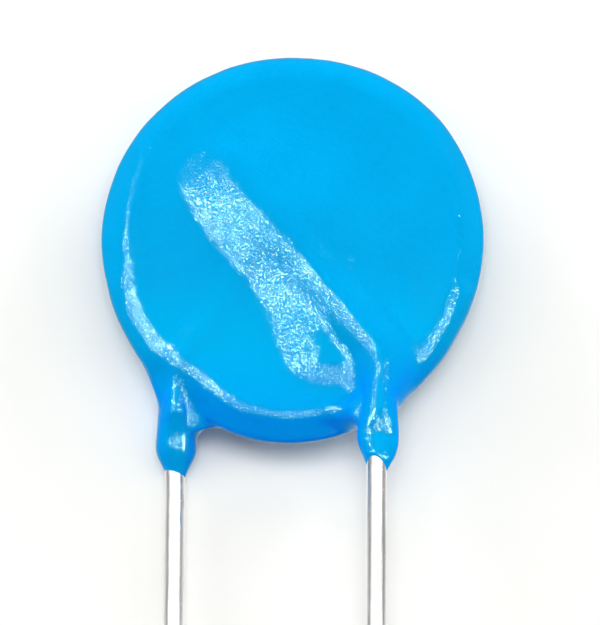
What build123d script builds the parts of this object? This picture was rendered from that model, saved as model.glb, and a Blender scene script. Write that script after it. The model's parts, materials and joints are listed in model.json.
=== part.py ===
from build123d import *
import math
import os

# Radial-leaded disc varistor, dipped in epoxy, lying on its back.
# Millimetres. The disc's axis is Z with the front face up, the leads run along -Y,
# and X is the direction of the lead pitch. The origin is the midpoint between the
# two leads, on the disc's middle plane, at the seating line: the level of a board
# that the leads are pushed into, half a millimetre short of the resin.

# ---- driving dimensions -------------------------------------------------------
LEAD_D = 0.8             # tinned copper wire
LEAD_PITCH = 8.0         # between the two leads along X
LEAD_FREE = 22.0         # bare lead beyond the coating
LEAD_KINK_Y = 0.28       # the wire is set outward by a few degrees where the resin grips it
LEAD_KINK_R = 3.0
LEAD_BEND_R = 3.5        # where the leg turns into the diagonal across the disc
LEAD_CORNER = (4.20, 4.99)   # where leg and diagonal would meet if the bend were sharp
LEAD_END_X = -2.38       # end of the diagonal on the front face (mirrored on the rear)
LEAD_END_Y = 13.12
LEAD_CUT_EDGE = 0.06     # burr-free edge at the cut end

DISC_X = 0.62            # disc centre
DISC_Y = 10.0

CERAMIC_D = 14.0
CERAMIC_T = 1.40
CERAMIC_EDGE = 0.12
ELECTRODE_D = 12.6
ELECTRODE_T = 0.04

SOLDER_FILM = 0.04       # solder between wire and electrode
SOLDER_R = 1.15          # the bead is the cap of a round bar of this radius
SOLDER_SINK = 0.50       # centre of that bar below the electrode's face
SOLDER_LENGTH = 8.2

COAT_HALF_T = 1.28       # half the thickness of the coated disc
COAT_RIM_FILLET = 1.22   # nearly a full-round rim
COAT_RIM_R = 6.36        # centre line of the rim, polar radius from the disc centre
COAT_SAG = 0.86          # extra resin that ran down to the lead side
COAT_SAG_DIR = 266.0     # direction of that sag, degrees from +X
COAT_SAG_SPREAD = 42.0   # its spread, degrees
RIDGE_R = 0.78           # round of the ridge over each wire
RIDGE_FILLET = 1.15      # resin drawn up along the ridge
COAT_END_Y = 0.5         # where each resin sleeve ends on its lead
SLEEVE = [               # turned profile of each resin sleeve: (distance from its end, radius)
    (2.35, 0.740), (1.95, 0.800), (1.45, 0.860), (1.00, 0.815),
    (0.60, 0.700), (0.22, 0.545), (0.00, 0.440),
]

# ---- derived ------------------------------------------------------------------
LEAD_R = LEAD_D / 2
FACE_Z = CERAMIC_T / 2 + ELECTRODE_T          # outer face of an electrode
LEAD_Z = FACE_Z + SOLDER_FILM + LEAD_R        # axis of the front wire
LEAD_X = LEAD_PITCH / 2
LEAD_TIP_Y = COAT_END_Y - LEAD_FREE
LEG_LEAN = math.degrees(math.atan2(LEAD_CORNER[0] - LEAD_X, LEAD_CORNER[1] - LEAD_KINK_Y))


def rear(shape):
    """The rear side is the front side turned half round about the lead direction."""
    return Rot(0, 180, 0) * shape


def on_leg(y):
    """A point on the axis of the leg inside the resin."""
    return (LEAD_X + (y - LEAD_KINK_Y) * math.tan(math.radians(LEG_LEAN)), y, LEAD_Z)


CORNER = (LEAD_CORNER[0], LEAD_CORNER[1], LEAD_Z)
END = (LEAD_END_X, LEAD_END_Y, LEAD_Z)


def wire_line():
    """Axis of the whole front wire: bare leg, slight set at the resin, leg, bend, diagonal."""
    return FilletPolyline(
        (LEAD_X, LEAD_TIP_Y, LEAD_Z), (LEAD_X, LEAD_KINK_Y, LEAD_Z), CORNER, END,
        radius=[LEAD_KINK_R, LEAD_BEND_R],
    )


def ridge_line(y_from):
    """Axis of the resin ridge: the same line from a point inside the sleeve."""
    return FilletPolyline(on_leg(y_from), CORNER, END, radius=LEAD_BEND_R)


def round_bar(radius, line):
    return sweep(Plane(origin=line @ 0, z_dir=line % 0) * Circle(radius), path=line)


# ---- ceramic and electrodes ---------------------------------------------------
ceramic_disc = Pos(DISC_X, DISC_Y, 0) * Cylinder(CERAMIC_D / 2, CERAMIC_T)
ceramic_disc = chamfer(ceramic_disc.edges().filter_by(GeomType.CIRCLE), CERAMIC_EDGE)

front_electrode = Pos(DISC_X, DISC_Y, CERAMIC_T / 2) * Cylinder(
    ELECTRODE_D / 2, ELECTRODE_T, align=(Align.CENTER, Align.CENTER, Align.MIN)
)
rear_electrode = Pos(DISC_X, DISC_Y, -CERAMIC_T / 2) * Cylinder(
    ELECTRODE_D / 2, ELECTRODE_T, align=(Align.CENTER, Align.CENTER, Align.MAX)
)

# ---- leads ----------------------------------------------------------------------
lead_line = wire_line()
front_lead = round_bar(LEAD_R, lead_line)
front_lead = chamfer(
    front_lead.edges().filter_by(GeomType.CIRCLE).sort_by(Axis.Y)[0], LEAD_CUT_EDGE
)
rear_lead = rear(front_lead)

# ---- solder ---------------------------------------------------------------------
# a low bead along the diagonal, grooved by the wire that lies in it
end = Vector(*END)
back = -(lead_line % 1)
solder_z = FACE_Z - SOLDER_SINK
bead_a = Vector(end.X, end.Y, solder_z) - back * 0.1
bead_b = Vector(end.X, end.Y, solder_z) + back * SOLDER_LENGTH
bead = Plane(origin=bead_a, z_dir=back) * Cylinder(
    SOLDER_R, (bead_b - bead_a).length, align=(Align.CENTER, Align.CENTER, Align.MIN)
)
bead = bead + Pos(*bead_a) * Sphere(SOLDER_R) + Pos(*bead_b) * Sphere(SOLDER_R)
above_face = Pos(DISC_X, DISC_Y, FACE_Z) * Box(
    40, 40, 5, align=(Align.CENTER, Align.CENTER, Align.MIN)
)
front_solder = (bead & above_face) - front_lead
rear_solder = rear(front_solder)

# ---- coating ----------------------------------------------------------------------
outline = []
STEPS = 40
for i in range(STEPS):
    a = 360.0 * i / STEPS
    off = (a - COAT_SAG_DIR + 180.0) % 360.0 - 180.0
    r = COAT_RIM_R + COAT_SAG * math.exp(-((off / COAT_SAG_SPREAD) ** 2)) + COAT_HALF_T
    outline.append(
        (DISC_X + r * math.cos(math.radians(a)), DISC_Y + r * math.sin(math.radians(a)))
    )
slab = extrude(
    Plane.XY.offset(-COAT_HALF_T) * make_face(Spline(*outline, periodic=True)),
    amount=2 * COAT_HALF_T,
)
slab = fillet(slab.edges(), COAT_RIM_FILLET)


def shared_edges(whole, first, second):
    """Edges of the union that lie on both of the solids that were joined."""
    def lies_on(shape_faces, point):
        return min(face.distance_to(point) for face in shape_faces) < 1e-4

    first_faces, second_faces = first.faces(), second.faces()
    found = []
    for edge in whole.edges():
        points = [edge @ t for t in (0.2, 0.5, 0.8)]
        if all(lies_on(first_faces, p) for p in points) and all(
            lies_on(second_faces, p) for p in points
        ):
            found.append(edge)
    return found


ridge = round_bar(RIDGE_R, ridge_line(COAT_END_Y + 0.95)) + Pos(*END) * Sphere(RIDGE_R)

body = slab
for ridge_side in (ridge, rear(ridge)):
    joined = body + ridge_side
    body = fillet(shared_edges(joined, body, ridge_side), RIDGE_FILLET)
    body = body.solids()[0] if isinstance(body, ShapeList) else body

profile = Spline(*[(r, y) for y, r in SLEEVE], tangents=[(0.1, -1), (-0.55, -1)])
sleeve_face = make_face(
    [
        profile,
        Line(profile @ 1, (0, SLEEVE[-1][0])),
        Line((0, SLEEVE[-1][0]), (0, SLEEVE[0][0])),
        Line((0, SLEEVE[0][0]), profile @ 0),
    ]
)
sleeve = Pos(*on_leg(COAT_END_Y)) * Rot(0, 0, -LEG_LEAN) * Rot(0, 37, 0) * revolve(
    sleeve_face, axis=Axis.Y
)
body = body + sleeve + rear(sleeve)

inside = (
    ceramic_disc + front_electrode + rear_electrode
    + front_solder + rear_solder + front_lead + rear_lead
)
epoxy_coating = body - inside

# ---- write ------------------------------------------------------------------------
os.makedirs("parts", exist_ok=True)
NODES = {
    "epoxy_coating": epoxy_coating,
    "ceramic_disc": ceramic_disc,
    "front_electrode": front_electrode,
    "rear_electrode": rear_electrode,
    "front_solder": front_solder,
    "rear_solder": rear_solder,
    "front_lead": front_lead,
    "rear_lead": rear_lead,
}
for name, shape in NODES.items():
    solids = shape.solids()
    out = solids[0] if len(solids) == 1 else Compound(children=list(solids))
    export_step(out, f"parts/{name}.step")
    box = out.bounding_box()
    print(
        f"{name:16s} solids {len(solids)} volume {sum(s.volume for s in solids):9.3f} valid {out.is_valid} "
        f"x {box.min.X:.2f}..{box.max.X:.2f} y {box.min.Y:.2f}..{box.max.Y:.2f} z {box.min.Z:.2f}..{box.max.Z:.2f}"
    )
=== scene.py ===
import json
import math

import bpy
import numpy as np
from mathutils import Matrix, Quaternion, Vector

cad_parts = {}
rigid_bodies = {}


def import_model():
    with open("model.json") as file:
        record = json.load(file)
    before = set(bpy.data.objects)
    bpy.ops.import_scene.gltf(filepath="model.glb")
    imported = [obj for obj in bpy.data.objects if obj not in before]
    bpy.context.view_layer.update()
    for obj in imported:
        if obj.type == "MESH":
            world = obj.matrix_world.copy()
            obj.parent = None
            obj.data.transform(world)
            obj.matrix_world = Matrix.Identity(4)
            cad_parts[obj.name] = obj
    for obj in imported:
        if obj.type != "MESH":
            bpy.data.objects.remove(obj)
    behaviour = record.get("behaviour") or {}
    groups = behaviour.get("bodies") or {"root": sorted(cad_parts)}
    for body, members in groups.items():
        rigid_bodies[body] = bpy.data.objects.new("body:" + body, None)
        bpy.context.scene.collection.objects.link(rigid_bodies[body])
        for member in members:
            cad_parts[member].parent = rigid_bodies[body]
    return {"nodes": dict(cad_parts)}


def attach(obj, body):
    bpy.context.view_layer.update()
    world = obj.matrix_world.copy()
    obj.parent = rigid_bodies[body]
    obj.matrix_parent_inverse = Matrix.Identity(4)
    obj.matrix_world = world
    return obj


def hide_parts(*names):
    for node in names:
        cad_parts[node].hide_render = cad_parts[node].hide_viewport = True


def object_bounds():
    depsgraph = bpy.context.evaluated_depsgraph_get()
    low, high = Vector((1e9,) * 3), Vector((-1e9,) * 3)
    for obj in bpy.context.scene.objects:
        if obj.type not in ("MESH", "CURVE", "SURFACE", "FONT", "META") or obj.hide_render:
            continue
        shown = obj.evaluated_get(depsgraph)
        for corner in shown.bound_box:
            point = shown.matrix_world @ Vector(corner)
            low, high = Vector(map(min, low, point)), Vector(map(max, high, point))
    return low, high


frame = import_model()
cad_low, cad_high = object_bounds()

# Every length below is in millimetres in the CAD frame, and becomes metres when a mesh is made.
MM = 0.001

# ---- shared numbers of the part -------------------------------------------------
DISC_X, DISC_Y = 0.62, 10.0
HALF_T = 1.28
LEAD_R, LEAD_X, LEAD_Z = 0.40, 4.0, 1.18
LEAD_TIP_Y = -21.5
KINK_Y, KINK_R, BEND_R = 0.28, 3.0, 3.5
WIRE_CORNER, WIRE_END = (4.20, 4.99), (-2.38, 13.12)


# ---- small numeric helpers --------------------------------------------------------
def smoothstep(a, b, x):
    t = np.clip((x - a) / (b - a), 0, 1)
    return t * t * (3 - 2 * t)


def smin(a, b, k):
    h = np.maximum(k - np.abs(a - b), 0) / k
    return np.minimum(a, b) - h * h * k * 0.25


def curve_table(xs, ys, n=500):
    """A smooth curve through a few points, as a table for np.interp."""
    xs, ys = np.asarray(xs, float), np.asarray(ys, float)
    x = np.linspace(xs[0], xs[-1], n)
    slope = np.gradient(ys, xs)
    i = np.clip(np.searchsorted(xs, x) - 1, 0, len(xs) - 2)
    step = xs[i + 1] - xs[i]
    t = (x - xs[i]) / step
    y = (
        (2 * t**3 - 3 * t**2 + 1) * ys[i]
        + (t**3 - 2 * t**2 + t) * step * slope[i]
        + (-2 * t**3 + 3 * t**2) * ys[i + 1]
        + (t**3 - t**2) * step * slope[i + 1]
    )
    return x, y


def waves(p, seed, count, wavelength, spread=0.35):
    """A smooth, seeded three-dimensional wobble of about unit size: a sum of sine waves."""
    rng = np.random.default_rng(seed)
    out = np.zeros(p.shape[:-1])
    for _ in range(count):
        d = rng.normal(size=3)
        d /= np.linalg.norm(d)
        k = 2 * np.pi / (wavelength * math.exp(rng.normal() * spread))
        out += np.sin(p @ (d * k) + rng.uniform(0, 2 * np.pi))
    return out / math.sqrt(count / 2)


# ---- the coating's shape, as a distance field ---------------------------------------
# The resin is a round-rimmed slab, a low hill over the wire on each face, and a sleeve
# round each leg, all run together as the wet resin does. The crest of the resin keeps
# beside the wire by a few tenths, because it drained while it was wet.
class Route:
    """Plan of the resin's crest on one face: leg, bend, diagonal."""

    def __init__(self, kink, corner, end, radius):
        self.kink, self.corner, self.end = (np.array(p, float) for p in (kink, corner, end))
        self.radius = radius
        self.v = (self.corner - self.kink) / np.linalg.norm(self.corner - self.kink)
        self.u = (self.end - self.corner) / np.linalg.norm(self.end - self.corner)
        self.turn = math.acos(float(self.u @ self.v))
        tan = radius * math.tan(self.turn / 2)
        self.arc0, self.arc1 = self.corner - self.v * tan, self.corner + self.u * tan
        self.left_v = np.array([-self.v[1], self.v[0]])
        self.left_u = np.array([-self.u[1], self.u[0]])
        self.centre = self.arc0 + self.left_v * radius
        self.a0 = math.atan2(*(self.arc0 - self.centre)[::-1])
        self.l0 = np.linalg.norm(self.arc0 - self.kink)
        self.l1 = np.linalg.norm(self.end - self.arc1)
        self.s_arc1 = self.l0 + radius * self.turn
        self.s_end = self.s_arc1 + self.l1

    def locate(self, x, y):
        """Plan distance to the route, how far along it is from the kink, and the signed
        distance to the side, positive on the left looking up the leg."""
        t0 = np.minimum((x - self.kink[0]) * self.v[0] + (y - self.kink[1]) * self.v[1], self.l0)
        d_leg = np.hypot(x - self.kink[0] - self.v[0] * t0, y - self.kink[1] - self.v[1] * t0)
        s_leg = (x - self.kink[0]) * self.left_v[0] + (y - self.kink[1]) * self.left_v[1]
        bx, by = x - self.centre[0], y - self.centre[1]
        ang = np.clip(np.arctan2(by, bx) - self.a0, 0, self.turn)
        d_arc = np.hypot(
            bx - self.radius * np.cos(ang + self.a0), by - self.radius * np.sin(ang + self.a0)
        )
        s_arc = self.radius - np.hypot(bx, by)
        t = np.clip((x - self.arc1[0]) * self.u[0] + (y - self.arc1[1]) * self.u[1], 0, self.l1)
        d_dia = np.hypot(x - self.arc1[0] - self.u[0] * t, y - self.arc1[1] - self.u[1] * t)
        s_dia = (x - self.arc1[0]) * self.left_u[0] + (y - self.arc1[1]) * self.left_u[1]
        d = np.minimum(np.minimum(d_leg, d_arc), d_dia)
        on_leg, on_arc = d == d_leg, d == d_arc
        s = np.where(on_leg, t0, np.where(on_arc, self.l0 + self.radius * ang, self.s_arc1 + t))
        side = np.where(on_leg, s_leg, np.where(on_arc, s_arc, s_dia))
        return d, s, side


FRONT = Route((LEAD_X, KINK_Y), (4.16, 4.86), (-2.04, 12.78), 2.2)
REAR = Route((LEAD_X - 0.03, KINK_Y), (3.98, 4.80), (-2.04, 12.78), 2.2)
S_END = FRONT.s_end
S_DIA = float(np.linalg.norm(FRONT.end - FRONT.corner))


def thin(x, y):
    """How far the face has drained thinner, 0 to 1: below the middle, beside the leg."""
    return (1 - smoothstep(6.2, 11.2, y)) * (1 - smoothstep(3.2, 8.3, x))


def slab(x, y, z):
    dx, dy = x - DISC_X, y - DISC_Y
    rho = np.hypot(dx, dy)
    off = (np.degrees(np.arctan2(dy, dx)) - 266 + 180) % 360 - 180
    rim = 6.36 + 0.86 * np.exp(-((off / 42) ** 2)) + 0.12 * np.exp(-(((off - 139) / 25) ** 2))
    reach = rho - rim
    q = np.maximum(reach, 0)
    zk = z * (1 + 0.34 * np.where(z > 0, thin(x, y), thin(-x, y)))
    round_rim = np.sqrt(q * q + zk * zk) - HALF_T
    # the lower edge drained to a flat shoulder, deepest below the left of the face
    window = smoothstep(-54, -30, off) * (1 - smoothstep(18, 40, off))
    window = window + 0.88 * smoothstep(-130, -105, off) * (1 - smoothstep(-77, -65, off))
    window = window + smoothstep(71, 80, off) * (1 - smoothstep(115, 140, off))
    slope = smoothstep(-58, -30, off) * (1 - smoothstep(-28, -12, off))
    shoulder = reach * 0.766 + np.abs(zk) * 0.643 - (HALF_T + 0.12 - (0.29 + 0.17 * slope) * window)
    bottom = smoothstep(-28, -12, off) * (1 - smoothstep(12, 28, off))
    gentle = reach * 0.375 + np.abs(zk) * 0.927 - (HALF_T + 0.10 - 0.24 * slope - 0.112 * bottom)
    return -smin(smin(-round_rim, -shoulder, 0.12), -gentle, 0.10)


TUBE = curve_table(
    [-1.0, -0.15, 0.10, 0.30, 0.60, 0.85, 1.05, 1.45, 2.0, 2.9, 3.8, 5.5, 8.5, S_END - 1.5, S_END - 0.2, S_END + 1.0],
    [0.20, 0.36, 0.45, 0.545, 0.69, 0.785, 0.825, 0.830, 0.79, 0.72, 0.63, 0.52, 0.48, 0.46, 0.44, 0.40],
)
TUBE_TALL = curve_table(
    [-1.0, 0.08, 0.25, 0.45, 0.85, 1.20, 1.30, 1.40, 1.50, 1.60, 1.70, 1.80, 1.95, 2.10, 2.30, 2.60, 2.9, 3.8, 5.5, 8.5, S_END + 1.0],
    [0.20, 0.34, 0.455, 0.472, 0.482, 0.50, 0.525, 0.56, 0.60, 0.64, 0.68, 0.715, 0.755, 0.785, 0.80, 0.795, 0.78, 0.73, 0.56, 0.48, 0.40],
)
# on the rear leg the resin runs up to the disc as one ramp
RAMP = curve_table(
    [-1.0, 0.05, 0.22, 0.40, 0.65, 0.95, 1.25, 1.60, 2.00, 2.40, 2.80, 3.40, 4.40, 5.50, 8.5, S_END + 1.0],
    [0.20, 0.32, 0.41, 0.53, 0.70, 0.88, 1.00, 1.13, 1.37, 1.62, 1.70, 1.73, 1.78, 1.60, 1.2, 1.0],
)
# the broad hill over the wire, by the distance up the diagonal from the leg's corner
HILL_H = curve_table(
    [-3.6, -1.2, -0.6, 0.2, 1.2, 2.5, 4.5, 7.0, S_DIA - 2.2, S_DIA - 1.0, S_DIA, S_DIA + 0.7, S_DIA + 1.4, S_DIA + 2.2],
    [0.34, 0.34, 0.35, 0.36, 0.39, 0.48, 0.60, 0.65, 0.62, 0.54, 0.36, 0.17, 0.05, 0.0],
)
HILL_TOP = curve_table([-4.0, 1.0, 2.2, 3.2, 4.2, 5.5, 8.5, S_DIA, S_DIA + 4], [1.75, 1.72, 1.22, 0.62, 0.30, 0.22, 0.25, 0.40, 0.40])
HILL_L = curve_table([-4.0, 0.0, 1.2, 2.2, 3.2, 5.0, 8.0, S_DIA, S_DIA + 4], [3.2, 3.3, 3.4, 3.4, 3.10, 2.65, 2.62, 2.5, 2.5])
HILL_R = curve_table([-4.0, 0.0, 1.5, 3.0, 5.0, 8.0, S_DIA, S_DIA + 4], [1.6, 2.0, 2.8, 3.8, 4.4, 4.6, 3.6, 3.4])
# the narrow crest where the wire comes up out of the hill and becomes the leg
CREST_H = curve_table(
    [0.0, 1.5, 2.5, 3.5, 4.5, 5.4, 6.2, 7.0, 7.8, 8.6, 9.6, 10.8, S_END, S_END + 4],
    [0.0, 0.14, 0.44, 0.82, 0.86, 0.85, 0.81, 0.69, 0.48, 0.26, 0.09, 0.02, 0.0, 0.0],
)
CREST_RUN = curve_table(
    [0.0, 0.06, 0.20, 0.40, 0.60, 0.72, 0.80, 0.90, 1.00, 1.08, 1.16, 4.0],
    [1.0, 0.965, 0.795, 0.552, 0.310, 0.165, 0.095, 0.040, 0.010, 0.0, 0.0, 0.0],
)


def flank(u, e):
    """1 at the crest and 0 at the foot, straight between two rounded ends of length e."""
    u = np.clip(np.abs(u), 0, 1)
    r = np.where(u < e, u * u / (2 * e), np.where(u > 1 - e, (1 - e) - (1 - u) ** 2 / (2 * e), u - e / 2))
    return 1 - r / (1 - e)


def hill(route, x, y):
    s_d = (x - route.corner[0]) * route.u[0] + (y - route.corner[1]) * route.u[1]
    on_dia = (x - route.corner[0]) * route.left_u[0] + (y - route.corner[1]) * route.left_u[1]
    on_leg = (x - route.corner[0]) * route.left_v[0] + (y - route.corner[1]) * route.left_v[1]
    lat = smin(on_leg, on_dia, 0.6 + 0.9 * smoothstep(0.3, 2.0, np.minimum(on_leg, on_dia)))
    top, left, right = (np.interp(s_d, *t) for t in (HILL_TOP, HILL_L, HILL_R))
    foot = np.where(lat > 0, smoothstep(3.40, 4.65, y), smoothstep(2.0, 5.4, y))
    low = foot * np.where(lat > 0, flank(np.maximum(lat - top, 0) / (left - top), 0.22), flank(lat / right, 0.40))
    d, s, _ = route.locate(x, y)
    crest = np.interp(d / (1.32 + 0.18 * (1 - smoothstep(4.0, 6.0, s))), *CREST_RUN)
    return np.interp(s_d, *HILL_H) * low + np.interp(s, *CREST_H) * crest


def tube(route, x, y, z, tip, ramp):
    d, s, side = route.locate(x, y)
    ang = np.arctan2(z - LEAD_Z, -side)
    near_tip = 1 - smoothstep(0.2, 1.8, s)
    s_tip = s - near_tip * tip(ang)
    r, r_tall = np.interp(s_tip - (0.13 if ramp else 0.0), *TUBE), np.interp(s_tip, *TUBE_TALL)
    web = np.interp(s_tip, *RAMP) if ramp else r_tall + 0.42 * smoothstep(1.0, 3.2, s)
    r_tall = np.where(z < LEAD_Z, web, r_tall)
    return np.sqrt(d * d + ((z - LEAD_Z) * r / r_tall) ** 2) - r, s, side


# the resin ends bluntly inside the wire, just below its visible edge
RESIN_END_Y = -0.05


def tip_front(a):
    return -0.05 + 0.10 * np.sin(a) - 0.13 * np.cos(a) + 0.05 * np.cos(2 * a + 2.6)


def tip_rear(a):
    return 0.10 + 0.03 * np.sin(a + 0.8) + 0.03 * np.cos(2 * a + 0.4)


def blend(s, side, z):
    inner = smoothstep(0.0, 1.0, side) * smoothstep(1.2, 2.0, s) * (1 - smoothstep(2.3, 3.2, s))
    outer = smoothstep(0.0, 0.8, -side) * smoothstep(1.5, 3.4, s) * (1 - smoothstep(4.4, 5.8, s))
    edge = smoothstep(-0.2, 0.35, z) * (1 - smoothstep(1.3, 1.9, z))
    return 0.30 + 0.15 * smoothstep(0.2, 0.9, z) + 0.35 * smoothstep(3.2, 6.5, s) + (1.6 * inner + 0.62 * outer) * edge


def resin(x, y, z):
    a = slab(x, y, z)
    a = a - smoothstep(-0.4, 0.9, z) * hill(FRONT, x, y) - smoothstep(-0.4, 0.9, -z) * hill(REAR, -x, y)
    f, s_f, side_f = tube(FRONT, x, y, z, tip_front, False)
    g, s_g, side_g = tube(REAR, -x, y, -z, tip_rear, True)
    a = smin(smin(a, f, blend(s_f, side_f, z)), g, blend(s_g, side_g, -z))
    return np.maximum(a, RESIN_END_Y - y)


# ---- from field to mesh ---------------------------------------------------------------
def surface_net(f, origin, cell):
    """Vertices, one in each grid cell that the surface crosses, and the quads between them."""
    inside = f < 0
    corners = [(i, j, k) for i in (0, 1) for j in (0, 1) for k in (0, 1)]
    nx, ny, nz = (n - 1 for n in f.shape)
    count = sum(inside[i : i + nx, j : j + ny, k : k + nz].astype(np.int8) for i, j, k in corners)
    active = (count > 0) & (count < 8)
    index = -np.ones(active.shape, np.int64)
    ii, jj, kk = np.nonzero(active)
    index[ii, jj, kk] = np.arange(len(ii))
    total, hits = np.zeros((len(ii), 3)), np.zeros(len(ii))
    for a in corners:
        for axis in range(3):
            if a[axis]:
                continue
            b = list(a)
            b[axis] = 1
            fa = f[ii + a[0], jj + a[1], kk + a[2]]
            fb = f[ii + b[0], jj + b[1], kk + b[2]]
            cross = (fa < 0) != (fb < 0)
            t = np.where(cross, fa / np.where(cross, fa - fb, 1), 0)
            point = np.array(a, float)[None] + t[:, None] * np.eye(3)[axis]
            total += point * cross[:, None]
            hits += cross
    verts = np.array(origin) + cell * (np.stack([ii, jj, kk], 1) + total / hits[:, None])
    quads = []
    for axis in range(3):
        b, c = (axis + 1) % 3, (axis + 2) % 3
        lo = [slice(1, -1)] * 3
        hi = [slice(1, -1)] * 3
        lo[axis], hi[axis] = slice(0, -1), slice(1, None)
        first = inside[tuple(lo)]
        g = list(np.nonzero(first != inside[tuple(hi)]))
        keep = first[tuple(g)]
        g[b], g[c] = g[b] + 1, g[c] + 1

        def cell_at(db, dc):
            at = list(g)
            at[b], at[c] = at[b] - db, at[c] - dc
            return index[tuple(at)]

        q = np.stack([cell_at(1, 1), cell_at(0, 1), cell_at(0, 0), cell_at(1, 0)], 1)
        quads.append(np.where(keep[:, None], q, q[:, ::-1]))
    return verts, np.concatenate(quads)


def one_piece(verts, quads):
    """The largest connected shell, without the crumbs that a thin edge leaves."""
    label = np.arange(len(verts))
    while True:
        before = label.copy()
        np.minimum.at(label, quads.ravel(), np.repeat(label[quads].min(1), 4))
        label = label[label]
        if (label == before).all():
            break
    keep = label[quads[:, 0]] == np.bincount(label[quads[:, 0]]).argmax()
    used, quads = np.unique(quads[keep], return_inverse=True)
    return verts[used], quads.reshape(-1, 4)


def gradient(field, p, e=2e-3):
    g = np.empty_like(p)
    for axis in range(3):
        d = np.zeros(3)
        d[axis] = e
        g[:, axis] = (field(*(p + d).T) - field(*(p - d).T)) / (2 * e)
    return g


def onto(field, p, rounds=2):
    for _ in range(rounds):
        f, g = field(*p.T), gradient(field, p)
        step = (f / np.maximum((g * g).sum(1), 0.25))[:, None] * g
        size = np.linalg.norm(step, axis=1, keepdims=True)
        p = p - step * np.minimum(1, 0.06 / np.maximum(size, 1e-9))
    return p


def relax(p, quads, rounds, field):
    """Evens the vertices out along the surface and puts them back on it."""
    pairs = np.stack([quads.ravel(), quads[:, [1, 2, 3, 0]].ravel()], 1)
    pairs = np.concatenate([pairs, pairs[:, ::-1]])
    degree = np.bincount(pairs[:, 0], minlength=len(p))
    for _ in range(rounds):
        mean = np.stack(
            [np.bincount(pairs[:, 0], weights=p[pairs[:, 1], k], minlength=len(p)) for k in range(3)], 1
        ) / degree[:, None]
        g = gradient(field, p)
        n = g / np.maximum(np.linalg.norm(g, axis=1, keepdims=True), 1e-9)
        move = mean - p
        move -= (move * n).sum(1, keepdims=True) * n
        p = onto(field, p + 0.6 * move, 1)
    return p


def mesh_object(name, verts_mm, faces, smooth=True):
    me = bpy.data.meshes.new(name)
    verts = np.asarray(verts_mm, float) * MM
    if isinstance(faces, np.ndarray):
        n, k = faces.shape
        me.vertices.add(len(verts))
        me.vertices.foreach_set("co", verts.astype(np.float32).ravel())
        me.loops.add(n * k)
        me.loops.foreach_set("vertex_index", faces.astype(np.int32).ravel())
        me.polygons.add(n)
        me.polygons.foreach_set("loop_start", (np.arange(n) * k).astype(np.int32))
        me.update(calc_edges=True)
    else:
        me.from_pydata([tuple(v) for v in verts], [], faces)
    me.validate()
    me.polygons.foreach_set("use_smooth", [smooth] * len(me.polygons))
    me.update()
    ob = bpy.data.objects.new(name, me)
    bpy.context.scene.collection.objects.link(ob)
    return ob


CELL = 0.088
low = np.array([-7.25, -0.75, -2.288])
shape = [int(v) for v in np.ceil((np.array([8.45, 17.85, 2.25]) - low) / CELL)]
gx, gy, gz = (low[k] + CELL * np.arange(shape[k]) for k in range(3))
grid = resin(gx[:, None, None], gy[None, :, None], gz[None, None, :])
coat_v, coat_q = one_piece(*surface_net(grid, low, CELL))
coat_v = onto(resin, coat_v, 2)
coat_v = relax(coat_v, coat_q, 3, resin)

# the skin is never quite even: a slow wobble from draining, and orange peel
g = gradient(resin, coat_v)
coat_n = g / np.maximum(np.linalg.norm(g, axis=1, keepdims=True), 1e-9)
bare = coat_v[:, 1] - KINK_Y
lift = (
    0.0095 * waves(coat_v, 11, 14, 3.0)
    + 0.0028 * waves(coat_v, 12, 18, 1.1)
    + 0.0008 * waves(coat_v, 13, 24, 0.5)
) - 0.012
coat_v = coat_v + coat_n * (lift * smoothstep(0.0, 0.8, bare))[:, None]
coating = mesh_object("epoxy_skin", coat_v, coat_q)


# ---- leads --------------------------------------------------------------------------
def wire_axis(step=0.12):
    """Points and directions along the front wire: bare leg, slight set, leg, bend, diagonal."""
    corners = [np.array(c, float) for c in ((LEAD_X, LEAD_TIP_Y), (LEAD_X, KINK_Y), WIRE_CORNER, WIRE_END)]
    pts = [corners[0]]
    for a, b, c, r in ((corners[0], corners[1], corners[2], KINK_R), (corners[1], corners[2], corners[3], BEND_R)):
        u, v = (b - a) / np.linalg.norm(b - a), (c - b) / np.linalg.norm(c - b)
        turn = math.atan2(u[0] * v[1] - u[1] * v[0], u @ v)
        tan = r * math.tan(abs(turn) / 2)
        start = b - u * tan
        side = np.array([-u[1], u[0]]) * math.copysign(1, turn)
        centre = start + side * r
        n = max(2, int(abs(turn) * r / step))
        for i in range(n + 1):
            t = abs(turn) * i / n
            pts.append(centre + r * (u * math.sin(t) - side * math.cos(t)))
    pts.append(corners[3])
    out = [pts[0]]
    for a, b in zip(pts[:-1], pts[1:]):
        n = max(1, int(round(np.linalg.norm(b - a) / step)))
        out += [a + (b - a) * i / n for i in range(1, n + 1)]
    out = np.array(out)
    d = np.gradient(out, axis=0)
    return out, d / np.linalg.norm(d, axis=1, keepdims=True)


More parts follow.
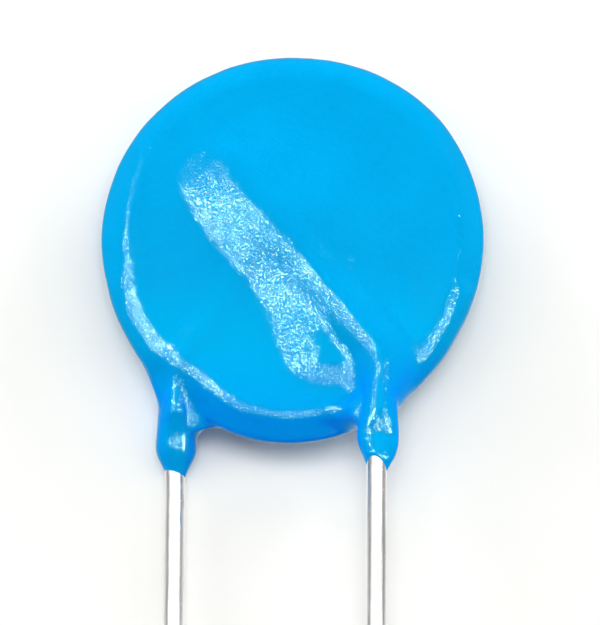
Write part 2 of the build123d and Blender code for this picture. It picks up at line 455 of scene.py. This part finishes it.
def lead(name, rear, seed):
    pts, dirs = wire_axis()
    seg = 40
    ang = 2 * np.pi * np.arange(seg) / seg
    rings = []
    for i, (p, d) in enumerate(zip(pts, dirs)):
        side = np.array([d[1], -d[0], 0.0])
        ring = np.array([p[0], p[1], LEAD_Z]) + LEAD_R * (
            np.cos(ang)[:, None] * side + np.sin(ang)[:, None] * np.array([0, 0, 1.0])
        )
        rings.append(ring)
    rings = np.array(rings)
    axis = np.array([[p[0], p[1], LEAD_Z] for p in pts])
    # drawn wire under tin: long low waves and soft dents, always a little inside its nominal size
    flat = rings.reshape(-1, 3)
    centre = np.repeat(axis, seg, 0)
    out = (flat - centre) / LEAD_R
    stretched = flat * np.array([1.0, 0.22, 1.0])
    drop = 0.004 + 0.0016 * waves(stretched, seed, 12, 0.5) + 0.0010 * waves(flat, seed + 1, 12, 0.45)
    flat = flat - out * np.clip(drop, 0, 0.012)[:, None]
    rings = flat.reshape(len(pts), seg, 3)
    # the cut end: pinched a little by the cutters, with its edge rounded
    cut = []
    for back, keep in ((0.0, 0.78), (0.012, 0.88), (0.04, 0.95), (0.085, 0.992)):
        ring = axis[0] + np.array([0, back, 0]) + (rings[0] - axis[0]) * keep
        cut.append(ring)
    body = [r for r, p in zip(rings, pts) if p[1] > LEAD_TIP_Y + 0.12]
    every = np.array(cut + body + [axis[-1] + (body[-1] - axis[-1]) * 0.9])
    n = len(every)
    verts = np.concatenate([every.reshape(-1, 3), [axis[0]], [axis[-1]]])
    if rear:
        verts = verts * np.array([-1.0, 1.0, -1.0])
    faces = []
    for i in range(n - 1):
        for j in range(seg):
            a, b = i * seg + j, i * seg + (j + 1) % seg
            faces.append((a, a + seg, b + seg, b))
    tip, end = n * seg, n * seg + 1
    for j in range(seg):
        faces.append((tip, j, (j + 1) % seg))
        faces.append((end, (n - 1) * seg + (j + 1) % seg, (n - 1) * seg + j))
    return mesh_object(name, verts, faces)


front_lead = lead("front_wire", False, 31)
rear_lead = lead("rear_wire", True, 47)


# ---- materials --------------------------------------------------------------------
class Nodes:
    def __init__(self, name):
        self.mat = bpy.data.materials.new(name)
        self.mat.use_nodes = True
        self.tree = self.mat.node_tree
        self.shader = self.tree.nodes["Principled BSDF"]
        self.coord = self.tree.nodes.new("ShaderNodeTexCoord").outputs["Object"]

    def link(self, a, b):
        self.tree.links.new(a, b)

    def scaled(self, scale, offset=(0, 0, 0), turn=(0, 0, 0)):
        m = self.tree.nodes.new("ShaderNodeMapping")
        m.inputs["Rotation"].default_value = turn
        m.inputs["Scale"].default_value = scale
        m.inputs["Location"].default_value = offset
        self.link(self.coord, m.inputs["Vector"])
        return m.outputs["Vector"]

    def noise(self, scale, detail=2.0, rough=0.5, vector=None, distortion=0.0):
        n = self.tree.nodes.new("ShaderNodeTexNoise")
        n.inputs["Scale"].default_value = scale
        n.inputs["Detail"].default_value = detail
        n.inputs["Roughness"].default_value = rough
        n.inputs["Distortion"].default_value = distortion
        self.link(vector if vector is not None else self.coord, n.inputs["Vector"])
        return n.outputs["Fac"]

    def remap(self, value, a, b, c, d):
        m = self.tree.nodes.new("ShaderNodeMapRange")
        for i, v in enumerate((a, b, c, d)):
            m.inputs[i + 1].default_value = v
        self.link(value, m.inputs[0])
        return m.outputs[0]

    def math(self, op, a, b=None):
        m = self.tree.nodes.new("ShaderNodeMath")
        m.operation = op
        for i, v in enumerate((a, b)):
            if v is None:
                continue
            if isinstance(v, (int, float)):
                m.inputs[i].default_value = v
            else:
                self.link(v, m.inputs[i])
        return m.outputs[0]

    def ramp(self, value, stops):
        r = self.tree.nodes.new("ShaderNodeValToRGB")
        els = r.color_ramp.elements
        while len(els) < len(stops):
            els.new(0.5)
        for e, (pos, col) in zip(els, stops):
            e.position = pos
            e.color = (*col, 1)
        self.link(value, r.inputs[0])
        return r.outputs[0]

    def mix(self, fac, a, b, kind="MIX"):
        m = self.tree.nodes.new("ShaderNodeMix")
        m.data_type = "RGBA"
        m.blend_type = kind
        for sock, v in ((m.inputs[0], fac), (m.inputs[6], a), (m.inputs[7], b)):
            if isinstance(v, (int, float)):
                sock.default_value = v
            elif isinstance(v, tuple):
                sock.default_value = (*v, 1)
            else:
                self.link(v, sock)
        return m.outputs[2]

    def bump(self, height, distance, strength=1.0, normal=None):
        b = self.tree.nodes.new("ShaderNodeBump")
        b.inputs["Strength"].default_value = strength
        b.inputs["Distance"].default_value = distance
        self.link(height, b.inputs["Height"])
        if normal is not None:
            self.link(normal, b.inputs["Normal"])
        return b.outputs["Normal"]

    def base(self, v):
        self.link(v, self.shader.inputs["Base Color"])

    def rough(self, v):
        self.link(v, self.shader.inputs["Roughness"])


def epoxy_material():
    m = Nodes("blue_epoxy")
    cloud = m.noise(420, 3, 0.5)
    fine = m.noise(5200, 2, 0.6)
    colour = m.ramp(cloud, [(0.30, (0.0, 0.328, 0.690)), (0.70, (0.0, 0.352, 0.722))])
    colour = m.mix(m.remap(fine, 0.35, 0.75, 0.0, 0.35), colour, (0.0, 0.378, 0.76))
    # painted shade: a deeper, darker blue painted on the steep faces of the lower edge and the legs, which turn away
    # from the light above
    split = m.tree.nodes.new("ShaderNodeSeparateXYZ")
    m.link(m.coord, split.inputs[0])
    up = m.tree.nodes.new("ShaderNodeSeparateXYZ")
    m.link(m.tree.nodes.new("ShaderNodeNewGeometry").outputs["Normal"], up.inputs[0])
    shade_on_steep = m.remap(m.math("ABSOLUTE", up.outputs["Z"]), 0.50, 0.93, 1.0, 0.2)
    lower = m.remap(split.outputs["Y"], 2.6e-3, 5.6e-3, 1.0, 0.0)
    # painted light: a paler blue painted on the flat, level face below the middle
    flat = m.remap(m.math("ABSOLUTE", up.outputs["Z"]), 0.965, 0.995, 0.0, 1.0)
    flat = m.math("MULTIPLY", flat, m.remap(split.outputs["Y"], 5.0e-3, 8.5e-3, 1.0, 0.0))
    colour = m.mix(flat, colour, (0.0, 0.392, 0.755))
    shade_on_steep = m.math("MULTIPLY", shade_on_steep, m.remap(m.math("ABSOLUTE", up.outputs["Z"]), 0.10, 0.55, 0.3, 1.0))
    leg = m.math("MULTIPLY", m.remap(m.math("ABSOLUTE", split.outputs["X"]), 3.1e-3, 3.7e-3, 0.0, 0.6), m.remap(split.outputs["Y"], 2.2e-3, 3.4e-3, 1.0, 0.0))
    shade_on_steep = m.math("MULTIPLY", shade_on_steep, m.math("SUBTRACT", 1.0, leg))
    # painted shade: the deeper blue goes onto the steep lower faces
    colour = m.mix(m.math("MULTIPLY", shade_on_steep, lower), colour, (0.0, 0.230, 0.93))
    # tiny pits where bubbles broke, each darkened inside with painted shade
    pits = None
    for x, y, z, r in PITS:
        d = m.tree.nodes.new("ShaderNodeVectorMath")
        d.operation = "DISTANCE"
        m.link(m.coord, d.inputs[0])
        d.inputs[1].default_value = (x * MM, y * MM, z * MM)
        near = m.remap(d.outputs["Value"], 0.4 * r * MM, r * MM, 1.0, 0.0)
        pits = near if pits is None else m.math("MAXIMUM", pits, near)
    colour = m.mix(pits, colour, (0.0, 0.09, 0.25))
    m.base(colour)
    m.rough(m.remap(m.noise(1500, 3, 0.6), 0.3, 0.7, 0.035, 0.055))
    # sandy grain where the skin is stretched over the wire and the rim, nearly none on the flat
    grain = m.noise(10400, 1, 0.55, vector=m.scaled((1, 1, 1), turn=(0.7, 0.4, 0.5)), distortion=0.6)
    grain = m.math("MULTIPLY", grain, m.remap(split.outputs["Y"], 0.8e-3, 3.4e-3, 0.25, 1.0))
    grain = m.math("MULTIPLY", grain, m.remap(m.math("ABSOLUTE", up.outputs["Z"]), 0.955, 0.995, 1.0, 0.28))
    grain = m.math("MULTIPLY", grain, m.remap(m.math("ABSOLUTE", up.outputs["Z"]), 0.78, 0.875, 0.2, 1.0))
    peel = m.noise(2300, 2, 0.5)
    n1 = m.bump(peel, 1.6e-5)
    n2 = m.bump(grain, 3.4e-5, normal=n1)
    n3 = m.bump(m.math("MULTIPLY", pits, -1.0), 4.0e-5, normal=n2)
    m.link(n3, m.shader.inputs["Normal"])
    m.shader.inputs["IOR"].default_value = 1.5
    m.shader.inputs["Specular IOR Level"].default_value = 0.50
    m.shader.inputs["Specular Tint"].default_value = (0.56, 1.0, 0.60, 1.0)
    return m.mat


def lead_material():
    m = Nodes("tinned_wire")
    m.shader.inputs["Metallic"].default_value = 1.0
    streak = m.noise(3000, 3, 0.6, vector=m.scaled((1.0, 0.06, 1.0)))
    blotch = m.noise(2600, 4, 0.6, vector=m.scaled((1.0, 0.35, 1.0), (0.003, 0.001, 0)))
    colour = m.ramp(streak, [(0.25, (0.66, 0.66, 0.64)), (0.55, (0.84, 0.84, 0.83)), (0.8, (0.92, 0.92, 0.91))])
    colour = m.mix(m.remap(blotch, 0.58, 0.72, 0.0, 0.45), colour, (0.52, 0.52, 0.53))
    m.base(colour)
    m.rough(m.remap(blotch, 0.3, 0.7, 0.12, 0.26))
    n1 = m.bump(streak, 1.6e-5)
    n2 = m.bump(blotch, 1.0e-5, normal=n1)
    m.link(n2, m.shader.inputs["Normal"])
    return m.mat


def ceramic_material():
    m = Nodes("zinc_oxide_ceramic")
    grain = m.noise(9000, 4, 0.6)
    spots = m.noise(2600, 3, 0.5)
    m.base(m.ramp(grain, [(0.3, (0.10, 0.11, 0.10)), (0.7, (0.20, 0.215, 0.19))]))
    m.rough(m.remap(spots, 0.3, 0.7, 0.55, 0.75))
    m.link(m.bump(grain, 1.5e-5), m.shader.inputs["Normal"])
    return m.mat


def silver_material():
    m = Nodes("fired_silver")
    m.shader.inputs["Metallic"].default_value = 1.0
    mesh_marks = m.noise(4200, 3, 0.6)
    m.base(m.ramp(mesh_marks, [(0.3, (0.74, 0.73, 0.69)), (0.7, (0.86, 0.85, 0.82))]))
    m.rough(m.remap(m.noise(1300, 3, 0.5), 0.3, 0.7, 0.42, 0.6))
    m.link(m.bump(mesh_marks, 1.2e-5), m.shader.inputs["Normal"])
    return m.mat


def solder_material():
    m = Nodes("tin_solder")
    m.shader.inputs["Metallic"].default_value = 1.0
    flow = m.noise(1500, 4, 0.55, distortion=0.6)
    m.base(m.ramp(flow, [(0.3, (0.55, 0.55, 0.55)), (0.7, (0.74, 0.74, 0.75))]))
    m.rough(m.remap(flow, 0.3, 0.7, 0.25, 0.42))
    m.link(m.bump(flow, 5e-5), m.shader.inputs["Normal"])
    return m.mat


PITS = [
    (1.80, 5.33, 1.62, 0.085),
    (-2.47, 4.98, 1.20, 0.075),
    (-0.24, 2.36, 0.60, 0.080),
    (0.27, 2.32, 0.60, 0.065),
    (0.63, 2.32, 0.60, 0.060),
]

epoxy, tin = epoxy_material(), lead_material()
coating.data.materials.append(epoxy)
for ob in (front_lead, rear_lead):
    ob.data.materials.append(tin)

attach(coating, "root")
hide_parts("epoxy_coating")
for ob, node in ((front_lead, "front_lead"), (rear_lead, "rear_lead")):
    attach(ob, "root")
    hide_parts(node)


def give(node, material):
    ob = frame["nodes"][node]
    ob.data.materials.clear()
    ob.data.materials.append(material)


silver, solder = silver_material(), solder_material()
give("ceramic_disc", ceramic_material())
give("front_electrode", silver)
give("rear_electrode", silver)
give("front_solder", solder)
give("rear_solder", solder)

# ---- floor ---------------------------------------------------------------------------
floor_z = cad_low.z
me = bpy.data.meshes.new("paper")
half = 1.6
me.from_pydata(
    [(-half, -half, floor_z), (half, -half, floor_z), (half, half, floor_z), (-half, half, floor_z)], [], [(0, 1, 2, 3)]
)
floor = bpy.data.objects.new("paper", me)
bpy.context.scene.collection.objects.link(floor)
fm = Nodes("white_paper")
tone = fm.noise(160, 3, 0.5)
fm.base(fm.ramp(tone, [(0.3, (0.84, 0.842, 0.815)), (0.7, (0.86, 0.862, 0.835))]))
fm.shader.inputs["Roughness"].default_value = 0.9
fm.shader.inputs["Specular IOR Level"].default_value = 0.1
floor.data.materials.append(fm.mat)
floor.visible_glossy = False
floor.visible_shadow = False

# ---- lights --------------------------------------------------------------------------
TARGET = Vector((0.93, 8.0, 0.0)) * MM
REACH = 0.30


def soft_box(name, towards, along, half_a, half_b, radiance):
    """A rectangular soft light in a direction from the part, with its size as half angles."""
    d = Vector(towards).normalized()
    a = Vector(along)
    a = (a - d * a.dot(d)).normalized()
    b = d.cross(a)
    size_a = 2 * REACH * math.tan(math.radians(half_a))
    size_b = 2 * REACH * math.tan(math.radians(half_b))
    data = bpy.data.lights.new(name, "AREA")
    data.shape = "RECTANGLE"
    data.size, data.size_y = size_a, size_b
    data.energy = radiance * math.pi * size_a * size_b
    ob = bpy.data.objects.new(name, data)
    bpy.context.scene.collection.objects.link(ob)
    z = d
    x, y = a, d.cross(a)
    rot = Matrix((x, y, z)).transposed().to_4x4()
    ob.matrix_world = Matrix.Translation(TARGET + d * REACH) @ rot
    ob.visible_camera = False
    return ob


scene_objects = bpy.context.scene.collection.objects
# four lamps that show as reflections in the resin, and a broad ceiling that gives the light
LAMPS = [
    ("lamp_left", (-0.5350, -0.0985, 0.8390), (-0.50, -0.42, -0.64), 14.2, 2.5, 97),
    ("lamp_right", (0.68, -0.24, 0.66), (0.54, -0.50, -0.90), 12, 3.0, 73),
    ("lamp_front", (0.05, -0.42, 0.90), (1, 0, 0), 10, 2.0, 47),
    ("lamp_small", (-0.436, 0.31, 0.84), (0, 1, 0), 2.5, 1.5, 18),
]
for spec in LAMPS:
    soft_box(*spec).visible_diffuse = False
# broad soft light from above and from behind, weaker from the front: azimuth from the back of
# the part towards its right, height above the floor, and strength
FILLS = [
    (0, 88, 0.40), (60, 62, 0.17), (300, 62, 0.17), (180, 62, 0.12), (90, 36, 0.16), (270, 36, 0.16),
    (45, 13, 0.46), (315, 13, 0.46), (90, 13, 0.13), (270, 13, 0.13),
]
for i, (az, el, strength) in enumerate(FILLS):
    az, el = math.radians(az), math.radians(el)
    data = bpy.data.lights.new("fill_%d" % i, "SUN")
    data.energy, data.angle = strength * math.pi, math.radians(28)
    fill = bpy.data.objects.new("fill_%d" % i, data)
    scene_objects.link(fill)
    fill.rotation_mode = "QUATERNION"
    toward = Vector((math.cos(el) * math.sin(az), math.cos(el) * math.cos(az), math.sin(el)))
    fill.rotation_quaternion = toward.to_track_quat("Z", "Y")
    fill.visible_glossy = False
# what the tinned wires reflect: the bright ceiling, the room beyond their ends, the paper
glow = soft_box("ceiling_glow", (0.0, 0.31, 0.95), (1, 0, 0), 69, 20, 1.25)
glow.visible_diffuse = False
far = soft_box("end_glow", (0.0, -0.93, 0.26), (1, 0, 0), 62, 16, 0.9)
far.visible_diffuse = False
under = soft_box("paper_glow", (0.0, 0.0, -1.0), (1, 0, 0), 75, 75, 0.75)
under.visible_diffuse = False
sides = [soft_box("side_glow_" + n, (x, 0.31, 0.05), (0, 1, 0), 22, 16, 0.42) for n, x in (("left", -0.95), ("right", 0.95))]
for ob in sides:
    ob.visible_diffuse = False
wires = bpy.data.collections.new("wires_only")
for ob in (front_lead, rear_lead):
    wires.objects.link(ob)
for ob in (glow, far, under, *sides):
    ob.light_linking.receiver_collection = wires

world = bpy.data.worlds.new("studio")
bpy.context.scene.world = world
world.use_nodes = True
wt = world.node_tree
bg = wt.nodes["Background"]
# what the gloss sees round the part: dim pale paper below, a lighter horizon, a dark room above
sky_coord = wt.nodes.new("ShaderNodeTexCoord")
sky_xyz = wt.nodes.new("ShaderNodeSeparateXYZ")
sky_ramp = wt.nodes.new("ShaderNodeValToRGB")
sky_map = wt.nodes.new("ShaderNodeMapRange")
wt.links.new(sky_coord.outputs["Generated"], sky_xyz.inputs[0])
sky_map.inputs[1].default_value, sky_map.inputs[2].default_value = -1.0, 1.0
wt.links.new(sky_xyz.outputs["Z"], sky_map.inputs[0])
wt.links.new(sky_map.outputs[0], sky_ramp.inputs[0])
stops = [(0.0, 0.70), (0.05, 0.45), (0.12, 0.14), (0.24, 0.05), (0.55, 0.02)]
while len(sky_ramp.color_ramp.elements) < len(stops):
    sky_ramp.color_ramp.elements.new(0.5)
for e, (pos, v) in zip(sky_ramp.color_ramp.elements, stops):
    e.position, e.color = pos, (v, v, v, 1)
wt.links.new(sky_ramp.outputs[0], bg.inputs["Color"])
bg.inputs["Strength"].default_value = 1.0
world.cycles_visibility.diffuse = False
world.cycles_visibility.camera = True

# ---- camera --------------------------------------------------------------------------
cam_data = bpy.data.cameras.new("camera")
cam_data.sensor_width = 36.0
cam_data.lens = 433.0
cam_data.clip_start, cam_data.clip_end = 0.01, 10.0
cam = bpy.data.objects.new("camera", cam_data)
bpy.context.scene.collection.objects.link(cam)
ELEV = math.radians(72.8)
back = Vector((0, -math.cos(ELEV), math.sin(ELEV)))
aim = Vector((0.93, 6.945, 0.0)) * MM
cam.rotation_mode = "QUATERNION"
cam.location = aim + back * 0.300
cam.rotation_quaternion = (-back).to_track_quat("-Z", "Y") @ Quaternion((0, 0, 1), math.radians(0.35))
bpy.context.scene.camera = cam

scene = bpy.context.scene
scene.view_settings.view_transform = "Standard"
scene.view_settings.look = "None"
